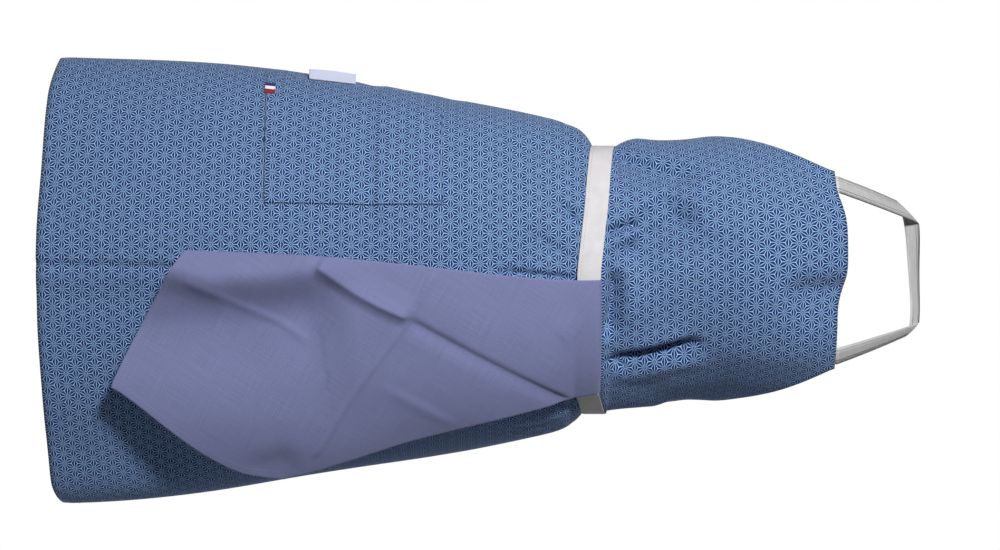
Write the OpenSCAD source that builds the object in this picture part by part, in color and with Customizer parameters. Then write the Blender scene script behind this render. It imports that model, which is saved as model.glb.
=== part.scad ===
// Cotton bib apron as it is worn: one panel, a patch pocket, a neck strap and two long ties
// that cross at the back and are knotted in front, with a tea towel hung over the tie.
// The origin is the middle of the wearer's waist. +Z is up and the front faces -Y.
// A place on the worn cloth is (s, z, o): s along the cloth from the centre front, z the
// height, and o the distance out from the inner face of the panel.

/* [Panel] */
// Drop from the waist line to the hem
skirt_len = 583; // [520:1:660]
// Rise from the waist line to the top of the bib
bib_len = 255; // [225:5:290]
// Flat half width of the panel at the waist line
waist_flat = 320; // [300:5:330]
// Flat half width of the panel at the hem
hem_flat = 360; // [340:5:380]
// Flat half width of the bib at its top
bib_flat = 110; // [100:1:125]
// Power of the hollow armhole curve
armhole_power = 1.16; // [1.05:0.01:1.6]
// Thickness of the printed cotton
cloth_t = 1; // [0.7:0.1:1.3]
// Extra thickness of the turned edge
hem_t = 0.8; // [0.4:0.1:1]

/* [Worn shape] */
// Half width of the waist
waist_a = 145; // [138:1:152]
// Depth of the front at the waist
waist_b = 103; // [97:1:108]
// Depth of the front at the hips
hip_b = 138; // [130:1:144]
// Drop from the waist to the hips
hip_drop = 150; // [120:5:180]
// Half width of the skirt at the hem
hem_a = 244; // [230:1:258]
// Depth of the front at the hem, from its sides
hem_b = 108; // [98:1:120]
// Fullness of the skirt's sides, from just under the tie
puff = 23; // [16:1:28]
// Half width at the chest
bust_a = 144; // [140:1:150]
// Depth of the front at the chest
bust_b = 117; // [112:1:120]
// Rise from the waist to the chest
bust_rise = 157; // [140:1:175]
// Half width at the top of the bib
top_a = 146; // [140:1:152]
// Depth of the front at the top of the bib
top_b = 112; // [106:1:116]
// Sideways lean of the bib, negative to the viewer's left
bib_lean = -9; // [-14:1:4]

/* [Folds] */
// Height of the gathers above and below the tie
gather_h = 3; // [1:0.5:4]
// Pitch of the gathers along the cloth
gather_pitch = 104; // [90:2:130]
// Reach of the gathers from the tie
gather_reach = 125; // [100:5:130]
// Depth of the hanging folds at the hem's sides
side_fold = 12; // [6:1:16]
// Pitch of the hanging folds
side_pitch = 92; // [80:2:110]

/* [Pocket] */
// Width of the patch pocket
pocket_w = 167; // [150:1:190]
// Height of the patch pocket
pocket_h = 187; // [150:2:200]
// Drop from the waist line to the pocket mouth
pocket_drop = 163; // [155:1:190]
// Distance from the centre front to the pocket's near side
pocket_in = 75; // [66:1:90]
// Thickness of the hem at the pocket's mouth
mouth_t = 1.8; // [1.2:0.1:2.2]
// Height of the hem at the pocket's mouth
mouth_h = 22; // [16:1:30]

/* [Label and tab] */
// Length of the woven label along the pocket's side seam
label_l = 50; // [36:1:60]
// Width that the woven label sticks out
label_w = 16; // [10:1:20]
// Thickness of the folded label
label_t = 0.8; // [0.5:0.1:1]
// Drop from the pocket mouth to the label
label_drop = 96; // [60:1:110]
// Angle of the label away from straight sideways, to the back
label_turn = 54; // [40:1:60]
// Width of the striped tab
tab_w = 16.5; // [14:0.5:24]
// Length of the striped tab
tab_l = 11; // [9:0.5:16]
// Distance of the tab from the pocket's outer side
tab_in = 15; // [10:1:60]
// Length of the tab that hangs below the pocket
tab_hang = 4; // [0:0.5:6]

/* [Tapes] */
// Width of the waist tie
tie_w = 25; // [20:0.5:28]
// Thickness of the folded tape
tape_t = 1.5; // [1:0.1:1.8]
// Width of the neck strap
strap_w = 22; // [18:0.5:26]
// Length of the strap sewn behind the bib's hem
strap_sewn = 26; // [18:1:35]
// Half width of the strap's band at the back of the neck
neck_half = 54; // [46:1:60]
// Sideways place of the band, negative to the viewer's left
neck_lean = -4; // [-10:1:4]
// Depth of the band behind the waist's middle
neck_back = 80; // [70:1:95]
// Rise of the band's upper edge above the top of the bib
neck_rise = 118; // [95:1:130]
// Bow of the band round the neck
neck_bow = 12; // [6:1:18]
// Lift of the strap over the shoulders
shoulder_lift = 4; // [2:1:14]

/* [Knot] */
// Distance of the knot from the centre front
knot_s = 52; // [45:1:60]
// Height of the knot's middle
knot_z = -9.5; // [-11:0.5:-8]
// Size of the flat knot
knot_w = 27; // [26:0.5:30]
// Thickness of the flat knot
knot_t = 4; // [3:0.25:4.5]
// Length of the tie's left loose end
tail_left_l = 112; // [80:2:140]
// Length of the tie's right loose end
tail_right_l = 96; // [70:2:130]

/* [Towel] */
// Thickness of the towel's cloth
towel_t = 1.1; // [0.8:0.1:1.3]
// Pitch of the towel's folded layers
layer_pitch = 2.6; // [2.2:0.1:3]
// Cloth position of the towel's left end on the tie
towel_left = 4; // [-6:1:8]
// Cloth position of the towel's right end on the tie
towel_right = 125; // [112:1:132]
// Drop of the towel's lowest corner
corner_drop = 503; // [460:1:540]
// Cloth position of the lowest corner
corner_s = 107; // [98:1:120]
// Drop of the lower end of the towel's left fold
left_drop = 423; // [400:1:440]
// Cloth position of the lower end of the left fold
left_s = -25; // [-36:1:-16]
// Drop of the lower end of the towel's right fold
right_drop = 330; // [300:2:350]
// Cloth position of the lower end of the right fold
right_s = 211; // [200:1:225]
// Width of the towel's hem, turned back along its free edges
towel_hem = 8; // [6:0.5:10]
// Depth of the fold tucked behind the tie
tuck_drop = 22; // [16:1:26]
// Outward lean of the tuck, along which the towel pulls out
tuck_lean = 5; // [4:0.25:6]
// Stand-off of the lowest corner from the skirt
corner_off = 14; // [8:1:18]

/* [Fit] */
// Clearance between two layers of cloth
gap = 0.4; // [0.3:0.05:0.6]
// Height above the waist line that the tie draws in
band_h = 16; // [14:0.5:20]

/* [Hidden] */

PRINT = "#4f78ab";
ECRU = "#dedbda";
TOWEL = "#7a7fac";

// Grid counts: panel rows below and above the waist, panel columns, and steps of an arc table
skirt_rows = 12;
bib_rows = 9;
panel_cols = 24;
arc_steps = 36;
arc_end = 178;
row_power = 1.45;

// Shares that shape the skirt's flare and the forward drift of its sides
flare_power = 1.5;
drift_power = 1.3;
puff_reach = 12;
chest_start = 0.45;
// The waist stays drawn in down to just below the towel's tuck
band_low = tuck_drop + 5 * gap;

// Stack of layers at the front of the waist, outwards from the panel's inner face
layer_o = cloth_t + gap;
lean = tan(tuck_lean);
tuck_o = layer_o + gap + tuck_drop * lean;
tuck_layers = 1.5;
tuck_t = tuck_layers * towel_t;
tie_o = layer_o + gap / 2;
tie_front_o = tuck_o + tuck_t + 1.5 * gap;
knot_top = knot_z + knot_w / 2;
drop_o = tie_front_o + knot_t + 2 * gap + knot_top * lean;
drop_depth = 2 * layer_pitch + towel_t;
lip_z = knot_top + gap;
pocket_in_o = layer_o + gap / 2;
pocket_o = pocket_in_o + cloth_t;

function mix(p, q, t) = p + (q - p) * t;
function ease(t) = let (u = max(0, min(1, t))) u * u * (3 - 2 * u);
function unit(v) = v / norm(v);
function below(z) = max(0, -z - band_low);
function down(z) = min(1, below(z) / (skirt_len - band_low));
function above(z) = max(0, z - band_h);

// Half width of the worn section at height z
function skirt_a(z) = mix(waist_a, hem_a - puff, 1 - pow(1 - down(z), flare_power))
    + puff * (1 - exp(-below(z) / puff_reach));
function bib_a(z) = z < bust_rise
    ? mix(waist_a, bust_a, ease((z / bust_rise - chest_start) / (1 - chest_start)))
    : mix(bust_a, top_a, ease((z - bust_rise) / (bib_len - bust_rise)));
function sec_a(z) = z < 0 ? skirt_a(z) : bib_a(z);

// Depth of the worn section's front from its sides, and the place of those sides
function skirt_drift(z) = (hip_b - hem_b) * pow(down(z), drift_power);
function front_b(z) = z < 0 ? mix(waist_b, hip_b, ease(below(z) / (hip_drop - band_low)))
    : z < bust_rise ? mix(waist_b, bust_b, ease(above(z) / (bust_rise - band_h)))
    : mix(bust_b, top_b, ease((z - bust_rise) / (bib_len - bust_rise)));
function sec_y(z) = z < 0 ? -skirt_drift(z) : 0;
function sec_b(z) = front_b(z) + sec_y(z);
function sec_x(z) = bib_lean * ease(above(z) / (bust_rise - band_h));

// Angle round the section for a length s along it: the arc is summed in equal steps
function arc_step(z, i) = let (f = (i + 0.5) * arc_end / arc_steps)
    norm([sec_a(z) * cos(f), sec_b(z) * sin(f)]) * arc_end / arc_steps * PI / 180;
function arc_table(z) = [for (i = 0, s = 0; i <= arc_steps; s = s + arc_step(z, i), i = i + 1)
    [s, i * arc_end / arc_steps]];
function arc_angle(s, table) = sign(s) * lookup(abs(s), table);

// Outward swell of the cloth: gathers by the tie, and hanging folds at the skirt's sides
function gather_window(z) = let (t = (abs(z) - 2 * band_h) / gather_reach)
    t > 0 && t < 1 ? pow(sin(180 * t), 2) : 0;
// The side folds start clear of the pocket on the left, and past the front's flat part on the right
fold_clear = 8;
fold_right = 215;
fold_blend = 40;
fold_power = 1.5;
function side_start(s) = s < 0 ? pocket_in + pocket_w + fold_clear : fold_right;
function swell(s, z) = gather_h * gather_window(z) * cos(360 * s / gather_pitch)
    + (z < 0 ? side_fold * pow(down(z), fold_power)
        * ease((abs(s) - side_start(s)) / fold_blend) * sin(360 * (abs(s) - side_start(s)) / side_pitch) : 0);

// Point at angle f round the section, a distance w out from it
function round_point(f, z, w) = let (a = sec_a(z), b = sec_b(z), n = unit([b * sin(f), -a * cos(f)]))
    [sec_x(z) + a * sin(f) + n.x * w, sec_y(z) - b * cos(f) + n.y * w, z];
function cloth_point(s, z, o, table) = round_point(arc_angle(s, table), z, o + swell(s, z));
function on_cloth(s, z, o) = cloth_point(s, z, o, arc_table(z));

// Flat half width of the panel at height z
function panel_half(z) = z < 0 ? mix(waist_flat, hem_flat, -z / skirt_len)
    : mix(bib_flat, waist_flat, pow(1 - z / bib_len, armhole_power));

// Closed sheet between two grids of points. Seen from its outer side, columns run to the right
// and rows run up.
module sheet(outer, inner) {
    rows = len(outer);
    cols = len(outer[0]);
    back = rows * cols;
    top = rows - 1;
    side = cols - 1;
    function id(r, c) = r * cols + c;
    function two(p, q, u, v) = [[p, q, u], [p, u, v]];
    skin = [for (r = [0:rows - 2], c = [0:cols - 2])
        each two(id(r, c), id(r + 1, c), id(r + 1, c + 1), id(r, c + 1))];
    lining = [for (f = skin) [f[0] + back, f[2] + back, f[1] + back]];
    ends = [for (c = [0:cols - 2]) each concat(
        two(id(0, c), id(0, c + 1), id(0, c + 1) + back, id(0, c) + back),
        two(id(top, c + 1), id(top, c), id(top, c) + back, id(top, c + 1) + back))];
    edges = [for (r = [0:rows - 2]) each concat(
        two(id(r + 1, 0), id(r, 0), id(r, 0) + back, id(r + 1, 0) + back),
        two(id(r, side), id(r + 1, side), id(r + 1, side) + back, id(r, side) + back))];
    polyhedron([for (r = outer) each r, for (r = inner) each r], concat(skin, lining, ends, edges));
}

// Flat tape between two edge lines, of thickness t about their surface
module ribbon(low, high, t) {
    last = len(low) - 1;
    function middle(i) = low[max(0, min(last, i))] + high[max(0, min(last, i))];
    function along(i) = middle(i + 1) - middle(i - 1);
    n = [for (i = [0:last]) unit(cross(along(i), high[i] - low[i])) * t / 2];
    sheet([[for (i = [0:last]) low[i] + n[i]], [for (i = [0:last]) high[i] + n[i]]],
        [[for (i = [0:last]) low[i] - n[i]], [for (i = [0:last]) high[i] - n[i]]]);
}

// Panel: rows crowd towards the tie, and every edge is turned to the inside
panel_z = [for (i = [0:skirt_rows]) -band_low - (skirt_len - band_low) * pow(1 - i / skirt_rows, row_power),
    0, for (i = [0:bib_rows]) band_h + (bib_len - band_h) * pow(i / bib_rows, row_power)];

module apron_panel() {
    last = len(panel_z) - 1;
    function row(i, edge_o, mid_o) = let (z = panel_z[i], table = arc_table(z), w = panel_half(z))
        [for (j = [0:panel_cols]) cloth_point(w * (2 * j / panel_cols - 1), z,
            i == 0 || i == last || j == 0 || j == panel_cols ? edge_o : mid_o, table)];
    color(PRINT) sheet([for (i = [0:last]) row(i, cloth_t, cloth_t)], [for (i = [0:last]) row(i, -hem_t, 0)]);
}

// Pocket: a square patch on the viewer's left, with a thicker hem at its mouth
pocket_cols = 12;
pocket_out = pocket_in + pocket_w;
pocket_z = concat([for (i = [0:6]) -pocket_drop - pocket_h + (pocket_h - mouth_h) * i / 6],
    [-pocket_drop - mouth_h + gap, -pocket_drop]);

module patch_pocket() {
    function row(z, o) = let (table = arc_table(z))
        [for (j = [0:pocket_cols]) cloth_point(-pocket_out + pocket_w * j / pocket_cols, z, o, table)];
    color(PRINT) sheet(
        [for (z = pocket_z) row(z, pocket_in_o + (z > -pocket_drop - mouth_h ? mouth_t : cloth_t))],
        [for (z = pocket_z) row(z, pocket_in_o)]);
}

// Striped tab: a scrap of ribbon sewn at its upper end on the pocket's lower corner
tab_z = -pocket_drop - pocket_h + tab_l - tab_hang;
tab_s = -pocket_out + tab_in;

module striped_tab() {
    function row(z, o) = [for (j = [0:2]) on_cloth(tab_s + tab_w * j / 2, z, o)];
    z = [tab_z - tab_l, tab_z - tab_l / 2, tab_z];
    o = pocket_o + gap;
    color("white") sheet([for (h = z) row(h, o + cloth_t)], [for (h = z) row(h, o)]);
}

// Woven label: a folded strip caught in the pocket's outer side seam, standing out sideways
label_s = -pocket_out - 2 * gap;
label_z = -pocket_drop - label_drop;
label_o = pocket_in_o + cloth_t / 2;

module woven_label() {
    high = on_cloth(label_s, label_z, label_o);
    low = on_cloth(label_s, label_z - label_l, label_o);
    seam = unit(high - low);
    flat_out = [-cos(label_turn), sin(label_turn), 0];
    out = unit(flat_out - seam * (flat_out * seam));
    near = out * gap / 2;
    far = out * (gap / 2 + label_w);
    color("lavender") ribbon([low + far, low + near], [high + far, high + near], label_t);
}

// Waist ties: the left one is sewn to the panel's left edge, crosses the back and comes round the
// viewer's right. The right one goes the other way. Both are lifted by the tuck at the front.
edge_f = arc_angle(waist_flat, arc_table(0));
knot_f = arc_angle(knot_s, arc_table(0));
knot_side_f = arc_angle(knot_s + knot_w / 2 + gap, arc_table(0)) - knot_f;
tuck_side = 8;
tuck_left_f = arc_angle(towel_left - tuck_side, arc_table(0));
tuck_right_f = arc_angle(towel_right + tuck_side, arc_table(0));
cross_o = tape_t + 3 * gap;
tie_steps = 44;
sewn_z = -14;
wrap_z = 14;
sewn_turn = 1.5;
// Angles over which a tie rises from the panel on to the tuck, on its left and right
rise_left = 14;
rise_right = 12;
// Heights and stand-offs along each tie, as [angle round the waist, value]
left_z = [[edge_f, sewn_z], [165, sewn_z], [195, wrap_z], [265, -1], [290, -7], [360 - tuck_right_f, knot_z]];
left_o = [[edge_f, -hem_t], [165, 0], [195, 0], [206, tie_o], [360 - tuck_right_f - rise_right, tie_o],
    [360 - tuck_right_f, tie_front_o], [360 - knot_f, tie_front_o]];
right_z = [[edge_f, sewn_z], [165, sewn_z], [195, wrap_z], [270, 8], [330, -1], [360 + tuck_left_f, knot_z]];
right_o = [[edge_f, -hem_t], [156, 0], [164, cross_o], [194, cross_o], [206, tie_o],
    [360 + tuck_left_f - rise_left, tie_o], [360 + tuck_left_f, tie_front_o], [360 + knot_f, tie_front_o]];

// Share of the tuck's lean that a tie takes at angle f from the front
function lean_share(f) = f > tuck_left_f && f < tuck_right_f ? 1
    : f >= tuck_right_f ? 1 - ease((f - tuck_right_f) / rise_right) : 1 - ease((tuck_left_f - f) / rise_left);
function around(f) = f > 180 ? f - 360 : f;

// One tie, along angles that grow from its sewn edge. Way 1 passes the viewer's left, -1 the right.
module tie(way, heights, offsets, end_f) {
    f = [for (i = [0:tie_steps]) mix(edge_f + sewn_turn, end_f, i / tie_steps)];
    g = way > 0 ? f : [for (i = [0:tie_steps]) f[tie_steps - i]];
    function at(a, v, extra) = let (z = lookup(a, heights) + v * tie_w / 2, w = around(way * a))
        round_point(w, z, lookup(a, offsets) + extra + lean * lean_share(w) * z);
    sheet([for (v = [-1, 1]) [for (a = g) at(a, v, tape_t)]], [for (v = [-1, 1]) [for (a = g) at(a, v, 0)]]);
}

module waist_tie_left() {
    color(ECRU) tie(-1, left_z, left_o, 360 - knot_f - knot_side_f);
}

module waist_tie_right() {
    color(ECRU) tie(1, right_z, right_o, 360 + knot_f - knot_side_f);
}

// Places a shape at the front of the waist, with its x along the cloth and its z outwards
module at_front(f, z, o) {
    p = round_point(f, z, o + lean * z);
    q = round_point(f, z, o + lean * z + 1);
    turn = atan2(q.x - p.x, p.y - q.y);
    translate(p) rotate([90, 0, turn]) rotate([tuck_lean, 0, 0]) children();
}

// Flat knot: one tie wrapped over the other, drawn tight
knot_r = 1.5;
knot_step = 0.8;
knot_turn = 24;
knot_over = [0.55, 0.92] * knot_w;

module wrap(w, h, t) {
    hull() for (x = [-1, 1], y = [-1, 1], z = [knot_r, t - knot_r])
        translate([x * (w / 2 - knot_r), y * (h / 2 - knot_r), z]) sphere(knot_r, $fn = 16);
}

module waist_knot() {
    color(ECRU) at_front(knot_f, knot_z, tie_front_o) {
        wrap(knot_w, knot_w, knot_t - knot_step);
        rotate(knot_turn) wrap(knot_over.x, knot_over.y, knot_t);
    }
}

// Loose ends: two tapes that hang from the knot under the towel, one over the other
tail_rows = 6;
tail_fall = 2.5;
tail_left_s = -18;
tail_right_s = 22;

module tail(end_s, length, o) {
    top = knot_z - knot_w / 2 - 2 * gap;
    t = [for (i = [0:tail_rows]) 1 - i / tail_rows];
    function row(u, extra) = [for (v = [-1:1]) on_cloth(knot_s + end_s * u + v * tie_w / 2, top - length * u,
        mix(tie_front_o + top * lean, layer_o + 2 * gap, ease(tail_fall * u)) + o + extra)];
    color(ECRU) sheet([for (u = t) row(u, tape_t)], [for (u = t) row(u, 0)]);
}

module tie_tail_left() {
    tail(tail_left_s, tail_left_l, 0);
}

module tie_tail_right() {
    tail(tail_right_s, tail_right_l, tape_t + 2 * gap);
}

// Neck strap: two runs from the bib's corners over the shoulders, folded on the slant into a band
strap_inset = 2;
strap_out = bib_flat - strap_inset;
strap_o = -hem_t - 2 * gap - tape_t / 2;
strap_steps = 8;
strap_z = bib_len + 2 * gap;
band_top_z = bib_len + neck_rise;
// Forward, outward and downward reach of the slanted fold
slant = [24, 10, 22] * strap_w / 22;

// Edge points of the strap: the bib's corners, and the slanted fold on the side given
function corner(side, s) = let (p = on_cloth(side * s, bib_len, strap_o)) [p.x, p.y, strap_z];
function fold_high(side) = [neck_lean + side * neck_half, neck_back, band_top_z];
function fold_low(side) = fold_high(side) + [side * slant.x, -slant.y, -slant.z];
function run_edge(p, q) = [for (i = [0:strap_steps]) let (t = i / strap_steps)
    mix(p, q, t) + [0, 0, shoulder_lift * 4 * t * (1 - t)]];
function band_edge(p, q) = [for (i = [0:strap_steps]) let (t = i / strap_steps)
    mix(p, q, t) + [0, neck_bow * 4 * t * (1 - t), 0]];

module neck_strap() {
    color(ECRU) {
        for (side = [-1, 1]) {
            ribbon(run_edge(corner(side, strap_out), fold_low(side)),
                run_edge(corner(side, strap_out - strap_w), fold_high(side)), tape_t);
            hull() for (p = [fold_low(side), fold_high(side)])
                translate(p) sphere(tape_t, $fn = 16);
        }
        ribbon(band_edge(fold_low(-1), fold_low(1)), band_edge(fold_high(-1), fold_high(1)), tape_t);
    }
}

// Sewn ends of the neck strap, behind the hem at the bib's top corners
module strap_end(side) {
    z = [bib_len - strap_sewn, bib_len - strap_sewn / 2, bib_len - gap];
    s = [for (j = [0:2]) side * strap_out - (1 + side) * strap_w / 2 + j * strap_w / 2];
    function row(h, o) = [for (v = s) on_cloth(v, h, o)];
    color(ECRU) sheet([for (h = z) row(h, strap_o + tape_t / 2)], [for (h = z) row(h, strap_o - tape_t / 2)]);
}

module neck_strap_end_left() {
    strap_end(-1);
}

module neck_strap_end_right() {
    strap_end(1);
}

// Towel: a fold tucked behind the tie, with a lip over the tie's upper edge, and the hanging part.
// The tuck is the waist's curve carried along the way that it pulls out.
tuck_f = [for (i = [0:8]) arc_angle(mix(towel_left, towel_right, i / 8), arc_table(0))];
mid_f = tuck_f[4];
mid_n = round_point(mid_f, 0, 1) - round_point(mid_f, 0, 0);
pull = [mid_n.x * lean, mid_n.y * lean, 1];

module towel_tuck() {
    function leaf(z, o) = [for (f = tuck_f) round_point(f, 0, o) + pull * z];
    front = drop_o + drop_depth - lip_z * lean;
    lip_top = lip_z + tuck_t;
    color(TOWEL) sheet(
        [leaf(-tuck_drop, tuck_o + tuck_t), leaf(lip_z, tuck_o + tuck_t), leaf(lip_z, front)],
        [leaf(-tuck_drop, tuck_o), leaf(lip_top, tuck_o), leaf(lip_top, front)]);
}

// Hanging part: the cloth is folded back along both sides, the right flap behind the left one, and
// its free edges are hemmed. Outlines are [height, cloth position].
flap_cols = 4;
fold_cols = 3;
front_cols = 8;
drop_rows = 16;
tip_drop = corner_drop - towel_hem;
side_left = [[-corner_drop, corner_s], [-left_drop, left_s], [0, towel_left]];
side_right = [[-corner_drop, corner_s], [-right_drop, right_s], [0, towel_right]];
// Rise, full width and width at the tie of the left and right flaps
left_flap = [90, 190, 30];
right_flap = [70, 180, 20];
flap_clear = 6;
function flap(drop, f) = [[-corner_drop, 0], [-drop, towel_hem], [-drop + f[0], f[1]], [0, f[2]]];
flap_left = flap(left_drop, left_flap);
flap_right = flap(right_drop, right_flap);

function drop_z(i) = mix(-tip_drop, lip_z - gap, i / drop_rows);
function drop_off(z) = drop_o + corner_off * pow(max(0, -z) / corner_drop, 2);

// Cross-section of the hanging part as [cloth position, stand-off], from flap to flap
fold_f = [for (i = [0:fold_cols]) 180 * i / fold_cols];
function drop_path(z) = let (l = lookup(z, side_left), r = lookup(z, side_right), room = r - l - flap_clear,
        wl = min(lookup(z, flap_left), room), wr = min(lookup(z, flap_right), room),
        top = 2 * layer_pitch, rl = layer_pitch / 2, rr = layer_pitch)
    concat([for (i = [0:flap_cols - 1]) [l + rl + (wl - rl) * (1 - i / flap_cols), top - 2 * rl]],
        [for (f = fold_f) [l + rl - rl * sin(f), top - rl - rl * cos(f)]],
        [for (i = [1:front_cols - 1]) [mix(l + rl, r - rr, i / front_cols), top]],
        [for (f = fold_f) [r - rr + rr * sin(f), top - rr + rr * cos(f)]],
        [for (i = [1:flap_cols]) [r - rr - (wr - rr) * i / flap_cols, 0]]);

module towel_drop() {
    function face(z, way) = let (path = drop_path(z), last = len(path) - 1, table = arc_table(z))
        [for (i = [0:last]) let (d = unit(path[min(last, i + 1)] - path[max(0, i - 1)]),
            p = path[i] + [-d.y, d.x] * way * towel_t / 2)
            cloth_point(p.x, z, p.y + towel_t / 2 + drop_off(z), table)];
    color(TOWEL) sheet(
        [for (i = [0:drop_rows]) face(drop_z(i), 1)],
        [for (i = [0:drop_rows]) face(drop_z(i), -1)]);
}

apron_panel();
patch_pocket();
striped_tab();
woven_label();
waist_tie_left();
waist_tie_right();
waist_knot();
tie_tail_left();
tie_tail_right();
neck_strap();
neck_strap_end_left();
neck_strap_end_right();
towel_tuck();
towel_drop();
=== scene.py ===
import math

import bpy
import numpy as np
from mathutils import Matrix, Vector


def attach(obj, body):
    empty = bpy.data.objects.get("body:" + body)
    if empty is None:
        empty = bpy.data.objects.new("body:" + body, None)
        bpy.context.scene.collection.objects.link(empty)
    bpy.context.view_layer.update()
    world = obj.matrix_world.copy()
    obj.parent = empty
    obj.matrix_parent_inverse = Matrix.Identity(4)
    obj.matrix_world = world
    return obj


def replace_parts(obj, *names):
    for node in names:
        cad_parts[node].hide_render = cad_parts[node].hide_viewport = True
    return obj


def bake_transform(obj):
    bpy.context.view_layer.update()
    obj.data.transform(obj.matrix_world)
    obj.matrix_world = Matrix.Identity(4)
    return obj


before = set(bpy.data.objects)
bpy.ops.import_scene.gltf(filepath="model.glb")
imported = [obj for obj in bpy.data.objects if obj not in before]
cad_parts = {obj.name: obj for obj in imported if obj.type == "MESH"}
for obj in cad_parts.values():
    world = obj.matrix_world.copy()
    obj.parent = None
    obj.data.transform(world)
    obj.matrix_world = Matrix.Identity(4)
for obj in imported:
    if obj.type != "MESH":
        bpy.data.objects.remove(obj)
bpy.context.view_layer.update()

scene = bpy.context.scene
scene.view_settings.view_transform = "Standard"

# Camera: the worn apron is seen straight from the front, and the picture is turned on its side, so that
# the neck strap points to the right and the viewer's left side is on top. Sizes are in millimetres.
mm = 0.001
picture_wide = 1050
camera_away = 2400
waist_front = 110
sensor_wide = 36
picture_middle = (-1, -103)
camera = bpy.data.cameras.new("camera")
camera.sensor_width = sensor_wide
camera.lens = sensor_wide * camera_away / picture_wide
camera_stand = bpy.data.objects.new("camera", camera)
scene.collection.objects.link(camera_stand)
camera_stand.matrix_world = Matrix((
    (0, -1, 0, picture_middle[0] * mm),
    (0, 0, -1, -(waist_front + camera_away) * mm),
    (1, 0, 0, picture_middle[1] * mm),
    (0, 0, 0, 1),
))
scene.camera = camera_stand


# Studio: a window-like lamp from the viewer's upper left, a weak wide one from the right and a large soft one
# from behind, in a white surround. The camera sees the surround as plain white, and the pale floor lies well
# below the hem.
def linear(colour):
    """Linear RGBA of an sRGB hex colour: ((c + 0.055) / 1.055) ** 2.4 on each channel."""
    channels = [int(colour[i:i + 2], 16) / 255 for i in (1, 3, 5)]
    return [c / 12.92 if c <= 0.04045 else ((c + 0.055) / 1.055) ** 2.4 for c in channels] + [1.0]


def add(tree, kind, inputs=None, out=0, **settings):
    """Adds one node. A socket among the inputs is linked, any other value is set; gives output out."""
    made = tree.nodes.new("ShaderNode" + kind)
    for name, value in settings.items():
        setattr(made, name, value)
    for key, value in (inputs or {}).items():
        if isinstance(value, bpy.types.NodeSocket):
            tree.links.new(value, made.inputs[key])
        else:
            made.inputs[key].default_value = value
    return made.outputs[out]


def blank(owner):
    """Empties the node tree of a new material or world, and gives it."""
    owner.use_nodes = True
    owner.node_tree.nodes.clear()
    return owner.node_tree


def lamp(name, power, size, place, aim, spread=180):
    """A square soft lamp at place that faces aim, both in millimetres; a beam of spread degrees."""
    data = bpy.data.lights.new(name, "AREA")
    data.energy = power
    data.size = size * mm
    data.spread = math.radians(spread)
    stand = bpy.data.objects.new(name, data)
    scene.collection.objects.link(stand)
    towards = (Vector(aim) - Vector(place)).to_track_quat("-Z", "Y")
    stand.matrix_world = Matrix.Translation(Vector(place) * mm) @ towards.to_matrix().to_4x4()


lamp("window", 20, 380, (-1370, -2540, 680), (0, -60, 0), 88)
lamp("room", 5, 900, (2600, -100, 150), (0, 0, -60))
lamp("rear", 16, 1200, (500, 2800, 700), (0, 0, -60))

white = (1, 1, 1, 1)
surround_light = 0.055
scene.world = bpy.data.worlds.new("white studio")
tree = blank(scene.world)
seen = 0.0
for ray in ("Is Camera Ray", "Is Glossy Ray", "Is Transmission Ray"):
    seen = add(tree, "Math", {0: seen, 1: add(tree, "LightPath", out=ray)}, operation="MAXIMUM")
strength = add(tree, "MapRange", {"Value": seen, "To Min": surround_light, "To Max": 1.0})
glow = add(tree, "Background", {"Color": white, "Strength": strength})
add(tree, "OutputWorld", {"Surface": glow}, out=slice(0))

floor_drop = 1000
floor_reach = 1200
floor_sides = 96
floor_glow = 0.5
floor_turn = np.linspace(0, 2 * np.pi, floor_sides, endpoint=False)
floor_rim = np.stack([np.cos(floor_turn), np.sin(floor_turn), 0 * floor_turn], -1) * floor_reach
floor_mesh = bpy.data.meshes.new("floor")
floor_mesh.from_pydata(((floor_rim - (0, 0, floor_drop)) * mm).tolist(), [], [list(range(floor_sides))])
floor = bpy.data.objects.new("floor", floor_mesh)
scene.collection.objects.link(floor)

# Floor paint: matt and nearly white. It glows for the camera alone, so that it looks pale under weak lamps
# and still shows the apron's shadow.
floor_paint = bpy.data.materials.new("matt white studio floor")
tree = blank(floor_paint)
to_camera = add(tree, "LightPath", out="Is Camera Ray")
glow = add(tree, "Math", {0: to_camera, 1: floor_glow}, operation="MULTIPLY")
paint = add(tree, "BsdfPrincipled", {
    "Base Color": linear("#e9e9e7"), "Roughness": 0.9, "Emission Color": white, "Emission Strength": glow})
add(tree, "OutputMaterial", {"Surface": paint}, out=slice(0))
floor_mesh.materials.append(floor_paint)

# Apron panel: one cut of printed cotton, skirt and bib in one. It is wrapped round the wearer to well
# behind the sides, drawn in by the waist tie, and every edge is turned to the inside and stitched.
skirt_long, bib_long = 583, 255
waist_flat, hem_flat, bib_flat = 320, 360, 110
armhole_power = 1.16
waist_a, waist_b = 145, 103
band_low, band_high = 24, 16
hip_b, hip_drop = 138, 150
hem_a, hem_b = 244, 108
puff, puff_reach = 23, 12
bust_a, bust_b, bust_rise, chest_start = 144, 117, 157, 0.45
top_a, top_b = 146, 112
bib_lean, top_return = -9, 3
flare_power, drift_power = 1.5, 1.3


def ease(t):
    """Smooth step from 0 to 1: 3 t^2 - 2 t^3 between its ends."""
    t = np.clip(t, 0, 1)
    return t * t * (3 - 2 * t)


def mix(p, q, t):
    """The value a share t of the way from p to q."""
    return p + (q - p) * t


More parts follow.
